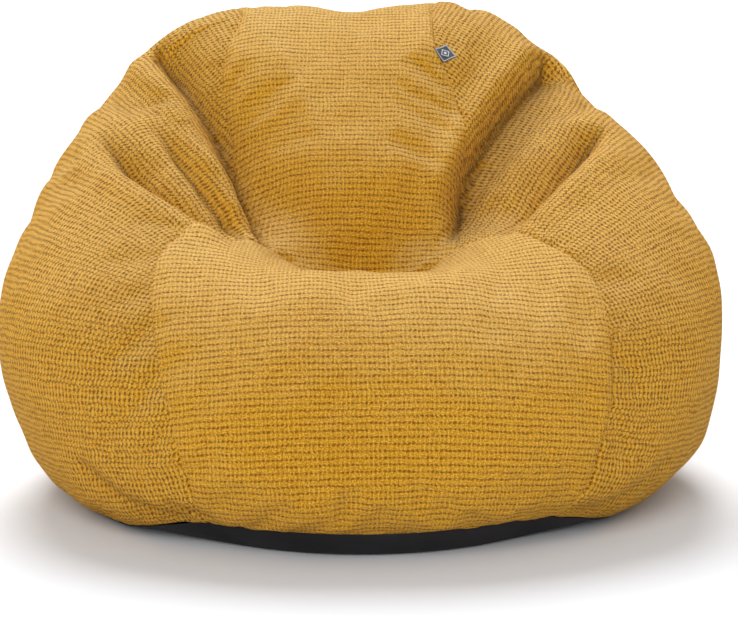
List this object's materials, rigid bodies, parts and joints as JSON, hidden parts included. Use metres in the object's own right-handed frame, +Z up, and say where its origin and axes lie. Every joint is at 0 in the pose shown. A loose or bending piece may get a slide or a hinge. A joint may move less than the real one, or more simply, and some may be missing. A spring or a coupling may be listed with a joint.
{
  "type": "bean bag chair",
  "caption": "Bean bag chair with a deep seat hollow and high backrest, zipped textured fabric cover on a smooth base, inner liner and bead filling.",
  "frame": {"origin": "on the floor under the middle of the base panel, which is the middle of its flat underside", "axes": "+Z up, -Y to the front where the sitter's legs go, +X to the right in the front view"},
  "size_m": [0.9516, 0.8136, 0.6189],
  "materials": {
    "cover_fabric": "chunky basket weave in mustard chenille",
    "base_fabric": "smooth coated black fabric",
    "liner_fabric": "plain light polyester lining",
    "bead_foam": "loose expanded foam beads",
    "zip_tape": "woven black zip tape",
    "zip_chain": "black nylon coil",
    "zip_metal": "black painted die-cast",
    "woven_label": "dark damask woven label with a plain border",
    "care_label": "plain white satin label, blank"
  },
  "bodies": {
    "bag": {"front_panel": "cover_fabric", "backrest_panel": "cover_fabric", "rear_panel": "cover_fabric", "side_panel_right": "cover_fabric", "side_panel_left": "cover_fabric", "base_panel": "base_fabric", "cover_zip_upper_tape": "zip_tape", "cover_zip_lower_tape": "zip_tape", "cover_zip_upper_chain": "zip_chain", "cover_zip_lower_chain": "zip_chain", "cover_zip_top_stop": "zip_metal", "cover_zip_bottom_stop": "zip_metal", "liner_bag": "liner_fabric", "liner_zip_upper_tape": "zip_tape", "liner_zip_lower_tape": "zip_tape", "liner_zip_upper_chain": "zip_chain", "liner_zip_lower_chain": "zip_chain", "liner_zip_top_stop": "zip_metal", "liner_zip_bottom_stop": "zip_metal", "bead_fill": "bead_foam", "woven_label": "woven_label", "care_label": "care_label"},
    "cover_slider": {"cover_zip_slider": "zip_metal"},
    "liner_slider": {"liner_zip_slider": "zip_metal"}
  },
  "joints": [
    {"name": "cover_zip", "type": "hinge", "parent": "bag", "child": "cover_slider", "pos_m": [0, 0, 0.05], "axis": [0, 0, 1], "range_deg": [0, 83]},
    {"name": "liner_zip", "type": "hinge", "parent": "bag", "child": "liner_slider", "pos_m": [0, 0, 0.2], "axis": [0, 0, 1], "range_deg": [0, 44]}
  ]
}
